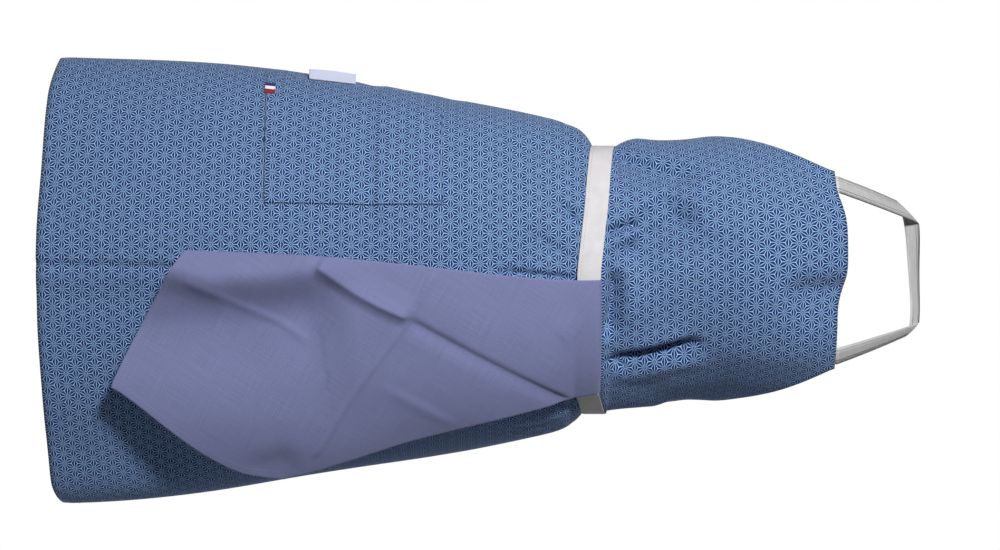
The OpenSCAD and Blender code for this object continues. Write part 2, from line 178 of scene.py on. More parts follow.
def section(z):
    """Worn outline at height z, an ellipse eased between waist, hip, hem, bust and top: its half width,
    its depth to the front, and its middle's place sideways and to the back."""
    below = np.maximum(0, -z - band_low)
    above = np.maximum(0, z - band_high)
    down = np.minimum(1, below / (skirt_long - band_low))
    up = ease((z - bust_rise) / (bib_long - bust_rise))
    skirt_a = mix(waist_a, hem_a - puff, 1 - (1 - down) ** flare_power)
    skirt_a = skirt_a + puff * (1 - np.exp(-below / puff_reach))
    bib_a = mix(waist_a, bust_a, ease((z / bust_rise - chest_start) / (1 - chest_start)))
    bib_a = np.where(z < bust_rise, bib_a, mix(bust_a, top_a, up))
    drift = np.where(z < 0, -(hip_b - hem_b) * down ** drift_power, 0)
    skirt_b = mix(waist_b, hip_b, ease(below / (hip_drop - band_low)))
    bib_b = mix(waist_b, bust_b, ease(above / (bust_rise - band_high)))
    bib_b = np.where(z < bust_rise, bib_b, mix(bust_b, top_b, up))
    lean = bib_lean * ease(above / (bust_rise - band_high)) + top_return * up
    return np.where(z < 0, skirt_a, bib_a), np.where(z < 0, skirt_b, bib_b) + drift, lean, drift


# Lengths round the worn outline, tabled by height and by angle from the centre front.
table_step = 2
table_z = np.arange(-620.0, 301, table_step)
table_s = np.arange(0.0, 431, table_step)
table_f = np.radians(np.linspace(0, 178, 357))
half_w, depth = section(table_z)[:2]
pace = np.hypot(half_w[:, None] * np.cos(table_f), depth[:, None] * np.sin(table_f))
arc = np.cumsum((pace[:, 1:] + pace[:, :-1]) / 2 * (table_f[1] - table_f[0]), 1)
arc = np.concatenate([np.zeros((len(table_z), 1)), arc], 1)
turn_table = np.array([np.interp(table_s, row, table_f) for row in arc])


def turn_of(s, z):
    """Angle round the worn outline for a length s along the cloth at height z, read from the table."""
    s, z = np.broadcast_arrays(np.asarray(s, float), np.asarray(z, float))
    row = np.clip((z - table_z[0]) / table_step, 0, len(table_z) - 1.001)
    col = np.clip(np.abs(s) / table_step, 0, len(table_s) - 1.001)
    r, c = row.astype(int), col.astype(int)
    low = mix(turn_table[r, c], turn_table[r, c + 1], col - c)
    high = mix(turn_table[r + 1, c], turn_table[r + 1, c + 1], col - c)
    return np.sign(s) * mix(low, high, row - r)


def unit(v):
    """Vectors of length 1 along v."""
    return v / np.linalg.norm(v, axis=-1, keepdims=True)


def round_point(f, z, o):
    """Point at angle f round the worn outline at height z, a distance o out along the level normal."""
    a, b, x, y = section(z)
    out = unit(np.stack([b * np.sin(f), -a * np.cos(f)], -1))
    return np.stack(np.broadcast_arrays(x + a * np.sin(f) + out[..., 0] * o,
                                        y - b * np.cos(f) + out[..., 1] * o, z), -1)


def body_point(s, z, o):
    """Point a length s along the cloth from the centre front, at height z, o out from the worn outline."""
    return round_point(turn_of(s, z), z, o)


tie_half = 12.5


def tie_height(s):
    """Height of the waist tie's middle line at the front: it dips from both sides to the knot."""
    return np.interp(s, [-230, -196, -73, -4, 133, 158, 204], [11, 11, -1, -9.5, -9.5, -5, 2])


def bell(t):
    """Round hump exp(-t^2)."""
    return np.exp(-t * t)


def fold(s, z, height, left, right, route, taper=0.35, sharp=False):
    """Height of one fold: a hump over the distance to its route, of reach left and right of it, that dies
    away over a share taper of its length at both ends. A sharp one has the profile (1 - d)^2."""
    route = np.array(route, float)
    legs = np.diff(route, axis=0)
    long = np.linalg.norm(legs, axis=1)
    start = np.concatenate([[0], np.cumsum(long)])
    best = np.full(np.shape(s), 1e9)
    side = np.zeros(np.shape(s))
    along = np.zeros(np.shape(s))
    for i, leg in enumerate(legs):
        ds, dz = s - route[i, 0], z - route[i, 1]
        t = np.clip((ds * leg[0] + dz * leg[1]) / long[i] ** 2, 0, 1)
        far = np.hypot(ds - t * leg[0], dz - t * leg[1])
        near = far < best
        best = np.where(near, far, best)
        side = np.where(near, leg[0] * dz - leg[1] * ds, side)
        along = np.where(near, (start[i] + t * long[i]) / start[-1], along)
    reach = best / np.where(side > 0, left, right)
    window = ease(along / taper) * ease((1 - along) / taper)
    return height * (np.maximum(0, 1 - reach) ** 2 if sharp else bell(reach)) * window


def folded(s, z, creases):
    """Sum of several folds. Each is given by its height, its reach to both sides and its route, and may add
    its taper and whether it is sharp."""
    return sum(fold(s, z, *crease) for crease in creases)


# Creases that the tie draws in below itself: each is a valley with its steep side towards the light.
skirt_creases = [
    (-5.5, 5, 13, [(-86, -48), (-66, -27), (-50, -11)], 0.5, True),
    (3, 14, 6, [(-94, -40), (-74, -20), (-62, -6)], 0.5),
    (-5, 9, 20, [(-54, -86), (-39, -62), (-8, -23)], 0.45),
    (-7.5, 8, 12, [(-6, -112), (-1, -60), (3, -14)], 0.3, True),
    (-3, 7, 12, [(-150, -110), (-142, -60), (-130, -16)], 0.5),
    (-3, 8, 12, [(-214, -100), (-205, -50), (-196, -4)], 0.5),
    (-3, 8, 12, [(190, -110), (182, -50), (172, -14)], 0.5),
]

# Creases of the bib above the tie: the puff by the towel, the long crease, and the drawn-in sides.
bib_creases = [
    (-14, 6, 16, [(-46, 0), (-50, 16), (-54, 26), (-60, 46)], 0.2, True),
    (-13, 10, 28, [(-16, 16), (-36, 45), (-52, 72), (-74, 108)], 0.25),
    (-10, 9, 20, [(-46, 34), (-66, 56), (-90, 88)], 0.3),
    (-11, 10, 26, [(-172, 10), (-146, 31), (-128, 56), (-116, 84), (-106, 120)], 0.3),
    (4, 18, 18, [(-240, 44), (-196, 44), (-165, 46)], 0.3),
    (-1.5, 24, 24, [(-240, 98), (-170, 98)], 0.3),
    (-4, 24, 24, [(230, 120), (196, 96), (190, 64)], 0.3),
    (-16, 20, 14, [(-4, 3), (-3, 11), (3, 16), (20, 16), (48, 11), (72, 4)], 0.25, True),
    (4, 14, 9, [(0, 36), (30, 36), (62, 27)], 0.4),
    (-15, 13, 30, [(97, 0), (94, 20), (92, 43), (87, 68), (81, 100), (87, 122)], 0.3, True),
    (3.5, 16, 8, [(84, 28), (76, 72), (70, 106)], 0.4),
    (-5, 6, 10, [(97, 1), (98, 17), (107, 29), (118, 32)], 0.35, True),
    (4, 14, 12, [(113, 36), (106, 85), (108, 132)], 0.4),
    (-11, 14, 36, [(30, 180), (22, 225), (18, 300)], 0.35),
    (-3, 12, 16, [(128, 6), (140, 40), (138, 84)], 0.45),
    (5, 55, 26, [(84, 90), (88, 170), (92, 270)], 0.3),
]


def bib_swell(s, z):
    """Outward height of the bib: its creases, a full chest and a level hollow right above the towel."""
    full = 9 * bell((z - 205) / 60) * bell(s / 130)
    hollow = 5 * ease((s + 45) / 25) * ease((190 - s) / 35) * ease((z - 8) / 10) * ease((165 - z) / 45)
    return folded(s, z, bib_creases) + full - hollow


# Lines left by ironing: one down the skirt's middle, on a broad ridge, and two across the pocket. The third
# fold is the hollow by the hem's right corner.
pressed_lines = [
    (-4, 8, 18, [(-14, -640), (-9, -420), (-8, -180)], 0.1, True),
    (8, 70, 26, [(-14, -660), (-14, -260)], 0.2),
    (-10, 60, 50, [(196, -640), (190, -380)], 0.3),
    (-3.6, 6, 16, [(-300, -240), (-10, -236)], 0.2),
    (-2.2, 6, 14, [(-280, -152), (-10, -149)], 0.2),
]
side_fold, side_pitch, side_start, side_blend, side_power = 11, 92, 292, 30, 1.5


def hanging_folds(s, z):
    """Folds that hang at the skirt's sides, behind the outline: a sine along the cloth, growing downwards."""
    down = np.clip((-z - band_low) / (skirt_long - band_low), 0, 1)
    past = np.abs(s) - side_start
    return side_fold * down ** side_power * ease(past / side_blend) * np.sin(2 * np.pi * past / side_pitch)


def waist_shift(s):
    """Outward move of the tie and the cloth under it: in at the viewer's left, out at the right."""
    behind = 1 - ease((np.abs(s) - 260) / 60)
    return (3.5 * ease((s - 130) / 65) - 5.5 * ease((-s - 130) / 65)) * behind


def side_reach(s, z):
    """How the worn sides differ from the plain outline: the skirt hangs in at its lower left, is fuller
    above that and a little wider at its lower right, and the tie pulls the waist over to the right."""
    leftwards, rightwards = ease((-s - 110) / 140), ease((s - 110) / 140)
    skirt = leftwards * (3.5 * bell((z + 290) / 80) - 9 * ease((-z - 370) / 200))
    skirt = skirt + rightwards * 1.8 * ease((-z - 300) / 150)
    return skirt + waist_shift(s) * bell((z - tie_height(s)) / 20)


def side_fullness(s, z):
    """Fullness of the skirt's sides right under the tie: the outline's own rise, started at the tie's lower
    edge instead of at the band, less that rise."""
    drop = np.maximum(0, tie_height(s) - tie_half - z)
    own = np.maximum(0, -z - band_low)
    rise = puff * (np.exp(-own / puff_reach) - np.exp(-drop / puff_reach))
    return rise * ease((np.abs(s) - 110) / 80) * (1 - ease((np.abs(s) - 240) / 60))


label_bed = -0.6


def swell(s, z):
    """Outward height of the worn cloth's folds, pressed lines and slow waves. Creases end at the tie, and the
    cloth is level by the label."""
    s, z = np.broadcast_arrays(np.asarray(s, float), np.asarray(z, float))
    away = z - tie_height(s)
    slow = np.sin(s / 41 + z / 97 + 0.6) + 0.8 * np.sin(s / 67 - z / 58 + 2.1)
    ripple = 0.4 * np.sin(s / 17 + 1.3 * np.sin(z / 63))
    waves = slow * ease((np.abs(z) - 30) / 90) + ripple * ease((np.abs(z) - 20) / 50)
    below = ease((-away - tie_half + 1.5) / 9)
    above = ease((away - tie_half + 1.5) / 8)
    by_label = ease((s + 285) / 22) * ease((-200 - s) / 22) * ease((z + 335) / 15) * ease((-228 - z) / 15)
    folds = (hanging_folds(s, z) + side_fullness(s, z) + side_reach(s, z) + folded(s, z, pressed_lines)
             + waves + folded(s, z, skirt_creases) * below + bib_swell(s, z) * above)
    return mix(folds, label_bed, by_label)


def worn_point(s, z, o):
    """Point on the worn panel: the body's outline with the cloth's folds, o out from the inner face."""
    return body_point(s, z, o + swell(s, z))


def panel_half(z):
    """Flat half width of the panel: straight down the skirt, an armhole curve up to the bib's top."""
    up = np.clip(1 - z / bib_long, 0, 1)
    skirt = mix(waist_flat, hem_flat, -z / skirt_long)
    return np.where(z < 0, skirt, mix(bib_flat, waist_flat, up ** armhole_power))


top_pull, top_sag, top_from = 9.5, 3, 150
hem_rise, left_rise, right_rise, hem_from = 2, 4, 8, 420


def panel_face(s, z, o):
    """Point on the worn panel with its edges' sag: the bib's top is pulled up left of its middle and drops
    at its corners, and the hem rises at both sides."""
    top = (top_pull * np.exp(-((s + 24) / 50) ** 4) - top_sag) * ease((z - top_from) / (bib_long - top_from))
    hem = (hem_rise * ease((np.abs(s) - 40) / 90) + left_rise * ease((-s - 200) / 70)
           + right_rise * ease((s - 232) / 60)) * ease((-z - hem_from) / (skirt_long - hem_from))
    return worn_point(s, z + top + hem, o)


def put(name, points, faces, uv=None, materials=()):
    """Makes a smooth mesh of points in millimetres, with an optional UV map in metres of flat cloth."""
    mesh = bpy.data.meshes.new(name)
    mesh.from_pydata((np.asarray(points).reshape(-1, 3) * mm).tolist(), [], faces)
    mesh.polygons.foreach_set("use_smooth", np.ones(len(mesh.polygons), bool))
    if uv is not None:
        corner = np.empty(len(mesh.loops), int)
        mesh.loops.foreach_get("vertex_index", corner)
        layer = mesh.uv_layers.new(name="cloth")
        layer.data.foreach_set("uv", (np.asarray(uv).reshape(-1, 2)[corner] * mm).ravel())
    for material in materials:
        mesh.materials.append(material)
    piece = bpy.data.objects.new(name, mesh)
    scene.collection.objects.link(piece)
    return piece


def grid_faces(rows, cols, closed=False):
    """Quads of a grid, columns to the right and rows up; closed joins the last column to the first."""
    at = np.arange(rows * cols).reshape(rows, cols)
    if closed:
        at = np.concatenate([at, at[:, :1]], 1)
    return np.stack([at[:-1, :-1], at[:-1, 1:], at[1:, 1:], at[1:, :-1]], -1).reshape(-1, 4).tolist()


def thicken(piece, thick, inside=0):
    """Gives a sheet its real thickness, half to each side; inside is the slot step for its inner face."""
    wall = piece.modifiers.new("thickness", "SOLIDIFY")
    wall.thickness = thick * mm
    wall.offset = 0
    wall.use_even_offset = False
    wall.material_offset = inside


edge_roll = 0.6


def turned(low, high, steps, hem_low, hem_high, hem_steps):
    """Places along one direction of a cut with both edges turned under: the flat place, the worn place and
    the layer, 1 on the face and 0 in the hem, with a roll at each edge."""
    fold_low = np.linspace(hem_low, edge_roll, hem_steps)
    fold_high = np.linspace(edge_roll, hem_high, hem_steps)
    inner = steps[1:-1]
    flat = np.concatenate([low - fold_low, [low], inner, [high], high + fold_high])
    place = np.concatenate([low + fold_low - edge_roll, [low - edge_roll / 2], inner, [high + edge_roll / 2],
                            high - fold_high + edge_roll])
    layer = np.concatenate([0 * fold_low, [0.5], 1 + 0 * inner, [0.5], 0 * fold_high])
    return flat, place, layer


cotton_thick = 0.5
panel_o, hem_o = 0.55, -0.3
hem_deep, side_deep, bib_hem = 18, 10, 20
row_z = np.concatenate([np.linspace(-skirt_long, -96, 68), np.linspace(-93.8, 128, 102),
                        np.linspace(132, bib_long, 28)])
flat_z, place_z, layer_z = turned(-skirt_long, bib_long, row_z, hem_deep, bib_hem, 5)

# Columns are counted in thousandths of the panel's half width. They crowd towards its middle.
per_half = 1000
col_t = np.linspace(-1, 1, 200)
col_crowd = 0.62
columns = per_half * (col_crowd * col_t + (1 - col_crowd) * col_t ** 3)
flat_u, place_u, layer_u = turned(-per_half, per_half, columns, side_deep, side_deep, 4)
half = panel_half(np.clip(flat_z, -skirt_long, bib_long))[:, None]
edge = np.sign(place_u) * np.maximum(np.abs(flat_u) - per_half, 0)
inset = np.where(layer_u < 1, np.abs(place_u) - per_half, 0) * np.sign(place_u)
face_u = np.clip(flat_u, -per_half, per_half) / per_half
panel_s = face_u * half + inset
panel_layer = np.minimum(layer_z[:, None], layer_u[None, :])
both = (layer_z[:, None] < 0.2) & (layer_u[None, :] < 0.2)
panel_out = mix(hem_o, panel_o, panel_layer) - edge_roll * both
panel_points = panel_face(panel_s, place_z[:, None] + 0 * panel_s, panel_out)
panel_uv = np.stack([face_u * half + edge, flat_z[:, None] + 0 * panel_s], -1)

# Printed cotton: matt plain weave, printed all over with a hemp-leaf lattice that is a little short along the
# apron. Light lines on a navy ground join the stars, and others meet in the middle of each triangle. They
# narrow towards a star, whose middle is a pale dot in a dark ring.
star_gap, star_squeeze = 12.8, 0.93
star_tall = star_gap * math.sqrt(3) / 2
edge_line, spoke_line, line_spread, line_blur = 0.37, 0.34, 0.1, 0.12
eye_middle, eye_dot, eye_ring = 0.65, 1.6, 2.15
pale_from, pale_to, dye_patch = 0.3 * star_gap, 0.55 * star_gap, 7
cotton_thread = 0.9

# A Mix node's colour sockets share their names with others, so they go by number: 6 and 7 in, 2 out.
as_colour = {"out": 2, "data_type": "RGBA"}


def cloth_start(name):
    """Starts a cloth material: gives it, its empty tree, and the cloth's own UV map in that."""
    material = bpy.data.materials.new(name)
    tree = blank(material)
    return material, tree, add(tree, "UVMap", uv_map="cloth")


def cloth_finish(tree, colour, bump, rough, sheen=0.1):
    """Ends a cloth material: a matt principled surface with a little fibre sheen."""
    surface = add(tree, "BsdfPrincipled", {
        "Base Color": colour, "Roughness": rough, "Specular IOR Level": 0.25, "Sheen Weight": sheen,
        "Sheen Roughness": 0.5, "Normal": bump})
    add(tree, "OutputMaterial", {"Surface": surface}, out=slice(0))


def weave_bump(tree, uv, thread, height):
    """Bump of a plain weave: the product of two crossed sine waves, one for each way of the threads. These
    are drawn coarser than real ones, so that they show."""
    scale = math.pi / 20 / (thread * mm)
    waves = [add(tree, "TexWave", {"Vector": uv, "Scale": scale, "Distortion": 0.6, "Detail": 1.0}, out=1,
                 bands_direction=way) for way in "XY"]
    both = add(tree, "Math", {0: waves[0], 1: waves[1]}, operation="MULTIPLY")
    return add(tree, "Bump", {"Height": both, "Strength": height, "Distance": 0.4 * mm})


def printed_cotton(name, ground, lines, bright, fade):
    """Hemp-leaf print. Three shares of a triangle's height place a point in the lattice: the least gives its
    distance to a line between stars, the difference of the two least that to a spoke, and all three that to
    the star. Fade mixes in the blurred tone of the reverse."""
    material, tree, uv = cloth_start(name)
    flat = add(tree, "VectorMath", {0: uv, 1: (1 / mm, 1 / (star_squeeze * mm), 0)}, operation="MULTIPLY")
    share = []
    for degrees in (90, 210, 330):
        turn = math.radians(degrees)
        way = (math.cos(turn) / star_tall, math.sin(turn) / star_tall, 0)
        across = add(tree, "VectorMath", {0: flat, 1: way}, out=1, operation="DOT_PRODUCT")
        share.append(add(tree, "Math", {0: across}, operation="FRACT"))
    total = add(tree, "Math", {0: share[0], 1: share[1]}, operation="ADD")
    total = add(tree, "Math", {0: total, 1: share[2]}, operation="ADD")
    upside = add(tree, "Math", {0: total, 1: 1.5}, operation="GREATER_THAN")
    sign = add(tree, "Math", {0: upside, 1: -2.0, 2: 1.0}, operation="MULTIPLY_ADD")
    share = [add(tree, "Math", {0: f, 1: sign, 2: upside}, operation="MULTIPLY_ADD") for f in share]
    least = add(tree, "Math", {0: share[0], 1: share[1]}, operation="MINIMUM")
    least = add(tree, "Math", {0: least, 1: share[2]}, operation="MINIMUM")
    most = add(tree, "Math", {0: share[0], 1: share[1]}, operation="MAXIMUM")
    most = add(tree, "Math", {0: most, 1: share[2]}, operation="MAXIMUM")
    rest = add(tree, "Math", {0: 1.0, 1: most}, operation="SUBTRACT")
    middle = add(tree, "Math", {0: rest, 1: least}, operation="SUBTRACT")
    apart = add(tree, "Math", {0: middle, 1: least}, operation="SUBTRACT")
    square = add(tree, "Math", {0: rest, 1: rest}, operation="MULTIPLY")
    product = add(tree, "Math", {0: middle, 1: least}, operation="MULTIPLY")
    square = add(tree, "Math", {0: square, 1: product}, operation="SUBTRACT")
    root = add(tree, "Math", {0: square}, operation="SQRT")
    from_star = add(tree, "Math", {0: root, 1: star_gap}, operation="MULTIPLY")
    narrow = add(tree, "Math", {0: from_star, 1: line_spread}, operation="MULTIPLY")
    leaf = add(tree, "MapRange", {
        "Value": from_star, "From Min": eye_ring - 2 * line_blur, "From Max": eye_ring + 2 * line_blur},
        interpolation_type="SMOOTHSTEP")
    lines_of = (least, star_tall, edge_line), (apart, star_tall / math.sqrt(3), spoke_line)
    for distance, whole, most_wide in lines_of:
        wide = add(tree, "Math", {0: narrow, 1: most_wide}, operation="MINIMUM")
        clear = add(tree, "Math", {0: distance, 1: whole}, operation="MULTIPLY")
        clear = add(tree, "Math", {0: clear, 1: wide}, operation="SUBTRACT")
        inside = add(tree, "MapRange", {"Value": clear, "From Min": -line_blur, "From Max": line_blur},
                     interpolation_type="SMOOTHSTEP")
        leaf = add(tree, "Math", {0: leaf, 1: inside}, operation="MULTIPLY")
    pale = add(tree, "MapRange", {"Value": from_star, "From Min": pale_from, "From Max": pale_to})
    line = add(tree, "Mix", {"Factor": pale, 6: linear(lines), 7: linear(bright)}, **as_colour)
    outside, ring = [add(tree, "MapRange", {
        "Value": from_star, "From Min": rim - line_blur, "From Max": rim + line_blur})
        for rim in (eye_dot, eye_middle)]
    eye = add(tree, "Mix", {"Factor": ring, 6: linear("#8fb0b4"), 7: linear("#2a3450")}, **as_colour)
    line = add(tree, "Mix", {"Factor": outside, 6: eye, 7: line}, **as_colour)
    colour = add(tree, "Mix", {"Factor": leaf, 6: line, 7: linear(ground)}, **as_colour)
    colour = add(tree, "Mix", {"Factor": fade, 6: colour, 7: linear("#a9b8cf")}, **as_colour)
    patchy = add(tree, "TexNoise", {"Vector": uv, "Scale": 1 / (dye_patch * mm), "Detail": 4.0})
    dye = add(tree, "MapRange", {
        "Value": patchy, "From Min": 0.3, "From Max": 0.7, "To Min": 0.9, "To Max": 1.1})
    colour = add(tree, "VectorMath", {0: colour, "Scale": dye}, operation="SCALE")
    cloth_finish(tree, colour, weave_bump(tree, uv, cotton_thread, 0.25), 0.82)
    return material


prints = [printed_cotton("printed cotton face", "#022b64", "#90b6e2", "#bfd9f6", 0.0),
          printed_cotton("printed cotton reverse", "#3c5c94", "#a9c2e2", "#c9d5e8", 0.45)]
panel = put("apron_panel_cloth", panel_points, grid_faces(*panel_s.shape), panel_uv, prints)
thicken(panel, cotton_thick, 1)
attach(panel, "apron")
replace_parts(panel, "apron_panel")


def out_from(place, s, z, o):
    """Ways out of a cloth's place function at (s, z, o): the cross product of its two directions."""
    along = place(s + 1, z, o) - place(s - 1, z, o)
    up = place(s, z + 1, o) - place(s, z - 1, o)
    return unit(np.cross(along, up))


twist_long = 0.8


def sewing_thread(name, colour):
    """Spun cotton sewing thread: a matt twisted strand, a little uneven in tone."""
    material = bpy.data.materials.new(name)
    tree = blank(material)
    place = add(tree, "TexCoord", out="Object")
    twist = add(tree, "TexNoise", {"Vector": place, "Scale": 1 / (twist_long * mm)})
    shade = add(tree, "MapRange", {"Value": twist, "To Min": 0.8, "To Max": 1.15})
    tint = add(tree, "VectorMath", {0: linear(colour)[:3], "Scale": shade}, operation="SCALE")
    bump = add(tree, "Bump", {"Height": twist, "Strength": 0.2, "Distance": 0.3 * mm})
    cloth_finish(tree, tint, bump, 0.7)
    return material


stitch_long, stitch_skip = 2.5, 1.0
ring_place = np.array([-0.5, -0.32, 0, 0.32, 0.5])
ring_thick = np.array([0.35, 0.85, 1, 0.85, 0.35])
ring_rise = np.array([-0.25, 0.05, 0.14, 0.05, -0.25])
ring_turn = np.linspace(0, 2 * np.pi, 6, endpoint=False)


def run_length(points):
    """Length along a line of points, from its start to each of them."""
    return np.concatenate([[0], np.cumsum(np.linalg.norm(np.diff(points, axis=0), axis=-1))])


def stitches(lines, thick=0.42):
    """Running stitches along lines of (points, outs): short capsules whose ends dip into the cloth.
    Each is a row of rings of six points; gives all points and faces."""
    points, faces, count = [], [], 0
    for line, outs in lines:
        gone = run_length(line)
        number = max(1, int(gone[-1] / (stitch_long + stitch_skip)))
        middle = (np.arange(number) + 0.5) * gone[-1] / number
        where = middle[:, None] + ring_place * stitch_long
        spot = np.stack([np.interp(where, gone, line[:, k]) for k in range(3)], -1)
        out = np.stack([np.interp(where, gone, outs[:, k]) for k in range(3)], -1)
        way = np.repeat((spot[:, -1] - spot[:, 0])[:, None], len(ring_place), 1)
        side = unit(np.cross(way, out))
        spot = spot + out * ring_rise[:, None]
        round_way = (np.cos(ring_turn)[:, None] * side[:, :, None]
                     + np.sin(ring_turn)[:, None] * out[:, :, None])
        ring = spot[:, :, None] + round_way * (thick / 2 * ring_thick)[:, None, None]
        at = count + np.arange(ring[..., 0].size).reshape(ring.shape[:3])
        nxt = np.roll(at, -1, 2)
        quads = np.stack([at[:, :-1], nxt[:, :-1], nxt[:, 1:], at[:, 1:]], -1).reshape(-1, 4)
        faces += quads.tolist() + at[:, 0, ::-1].tolist() + at[:, -1].tolist()
        points.append(ring.reshape(-1, 3))
        count += ring[..., 0].size
    return np.concatenate(points), faces


def sewn(place, s, z, o):
    """A stitch line on a cloth place function: its points and the ways out of the cloth."""
    s, z = np.broadcast_arrays(np.asarray(s, float), np.asarray(z, float))
    return place(s, z, o), out_from(place, s, z, o)


face_o = panel_o + cotton_thick / 2 + 0.05
stitch_in = 3
seam_z = np.arange(-skirt_long + stitch_in, bib_long - stitch_in, 3.0)
seam_u = np.linspace(-0.985, 0.985, 220)
hem_line = -skirt_long + hem_deep - stitch_in
bib_line = bib_long - bib_hem + stitch_in
panel_lines = [sewn(panel_face, seam_u * panel_half(hem_line), hem_line, face_o),
               sewn(panel_face, seam_u[::3] * panel_half(bib_line), bib_line, face_o)]
side_line = panel_half(seam_z) - side_deep + stitch_in
panel_lines += [sewn(panel_face, side * side_line, seam_z, face_o) for side in (-1, 1)]
panel_thread = sewing_thread("blue cotton sewing thread", "#5f80b4")
panel_seams = put("apron_hem_stitching", *stitches(panel_lines, 0.35), None, [panel_thread])
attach(panel_seams, "apron")

# Patch pocket: a square of the same print on the viewer's left hip. Its sides and bottom are turned under
# and stitched down, its mouth has a deep hem, and bar tacks hold the mouth's corners.
pocket_wide, pocket_tall = 167, 186
pocket_left, pocket_mouth = -242, -162
pocket_hem, pocket_turn, pocket_tilt = 22, 8, 0.03
pocket_o, pocket_under = 1.4, 0.8
pocket_seam, low_seam, second_seam = 2, 1.3, 7
tack_in, tack_half, tack_rows = 4, 3.2, 3


def pocket_point(s, z, o):
    """Point on the pocket: the skirt's worn face, a little full in the middle, gaping at its mouth and set
    on with its outer side lower."""
    across = np.clip((s - pocket_left) / pocket_wide, 0, 1)
    up = np.clip((z - pocket_mouth) / pocket_tall + 1, 0, 1)
    full = 0.7 * np.sin(np.pi * across) * np.sin(np.pi * np.clip(up * 0.9, 0, 1)) ** 0.8
    gape = 1.1 * np.sin(np.pi * across) ** 0.7 * ease((up - 0.7) / 0.3)
    return worn_point(s, z - pocket_tilt * (pocket_left + pocket_wide - s), o + full + gape)


pocket_low, pocket_right = pocket_mouth - pocket_tall, pocket_left + pocket_wide
flat_h, place_h, layer_h = turned(pocket_low, pocket_mouth, np.linspace(pocket_low, pocket_mouth, 64),
                                  pocket_turn, pocket_hem, 5)
flat_w, place_w, layer_w = turned(pocket_left, pocket_right, np.linspace(pocket_left, pocket_right, 64),
                                  pocket_turn, pocket_turn, 4)
pocket_s, pocket_z = np.meshgrid(place_w, place_h)
pocket_layer = np.minimum(layer_h[:, None], layer_w[None, :])
pocket_points = pocket_point(pocket_s, pocket_z, mix(pocket_under, pocket_o, pocket_layer))
pocket_uv = np.stack(np.meshgrid(flat_w, flat_h), -1)
pocket_uv[..., 1] -= pocket_tilt * (pocket_right - pocket_uv[..., 0])
pocket = put("patch_pocket_cloth", pocket_points, grid_faces(*pocket_s.shape), pocket_uv, prints)
thicken(pocket, cotton_thick, 1)
pocket_face = pocket_o + cotton_thick / 2 + 0.05
run_z = np.linspace(pocket_low + pocket_seam, pocket_mouth - pocket_seam, 66)
run_s = np.linspace(pocket_left + pocket_seam, pocket_right - pocket_seam, 66)
pocket_lines = [sewn(pocket_point, s, z, pocket_face) for s, z in (
    (pocket_left + pocket_seam, run_z), (pocket_right - pocket_seam, run_z), (run_s, pocket_low + low_seam),
    (run_s[2:-2], pocket_low + second_seam), (run_s, pocket_mouth - pocket_hem + pocket_seam))]
pocket_thread = sewing_thread("pale blue sewing thread", "#9fb0da")
pocket_seams = put("pocket_stitching", *stitches(pocket_lines, 0.45), None, [pocket_thread])
tack_run = np.array([-tack_half, 0, tack_half])
tack_lines = [sewn(pocket_point, corner + tack_run, pocket_mouth - row, pocket_face)
              for corner in (pocket_left + tack_in, pocket_right - tack_in)
              for row in np.arange(2 * tack_rows, -1, -1.0)]
tack_thread = sewing_thread("navy sewing thread", "#1c3566")
pocket_tacks = put("pocket_bar_tacks", *stitches(tack_lines, 0.6), None, [tack_thread])
for piece in (pocket, pocket_seams, pocket_tacks):
    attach(piece, "apron")
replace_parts(pocket, "patch_pocket")

# Striped tab: a scrap of woven ribbon, navy, white and red, folded and sewn by its upper end near the
# pocket's lower outer corner, a little over the pocket's edge.
tab_wide, tab_tall, tab_in, tab_hang = 16.5, 11, 19, 1
tab_left = pocket_left + tab_in
tab_top = pocket_low - pocket_tilt * (pocket_wide - tab_in) + tab_tall - tab_hang
tab_u, tab_v = np.meshgrid(np.linspace(0, 1, 21), np.linspace(0, 1, 13))
tab_o = pocket_o + 0.9 + 0.9 * (1 - tab_v) ** 2 + 0.25 * np.sin(tab_u * 5)
tab_points = worn_point(tab_left + tab_wide * tab_u, tab_top - tab_tall * (1 - tab_v), tab_o)
tab_uv = np.stack([tab_u * tab_wide, tab_v * tab_tall], -1)

# Woven ribbon: fine tight threads, a little smoother than the cotton, with sharp stripes.
ribbon_thread = 0.7
ribbon, tree, uv = cloth_start("woven striped ribbon")
across = add(tree, "SeparateXYZ", {0: uv})
stripes = linear("#16245c")
for start, colour in ((0.35, "#eeeef6"), (0.64, "#8c1f2c")):
    past = add(tree, "Math", {0: across, 1: tab_wide * mm * start}, operation="GREATER_THAN")
    stripes = add(tree, "Mix", {"Factor": past, 6: stripes, 7: linear(colour)}, **as_colour)
cloth_finish(tree, stripes, weave_bump(tree, uv, ribbon_thread, 0.4), 0.6)
tab = put("striped_tab_ribbon", tab_points, grid_faces(*tab_u.shape), tab_uv, [ribbon])
thicken(tab, 0.7)
tab_line = sewn(worn_point, tab_left + np.linspace(1, tab_wide - 1, 12), tab_top - 1.2, pocket_o + 1.3)
tab_sewing = put("tab_stitching", *stitches([tab_line]), None, [tack_thread])
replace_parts(tab, "striped_tab")
for piece in (tab, tab_sewing):
    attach(piece, "striped_tab")

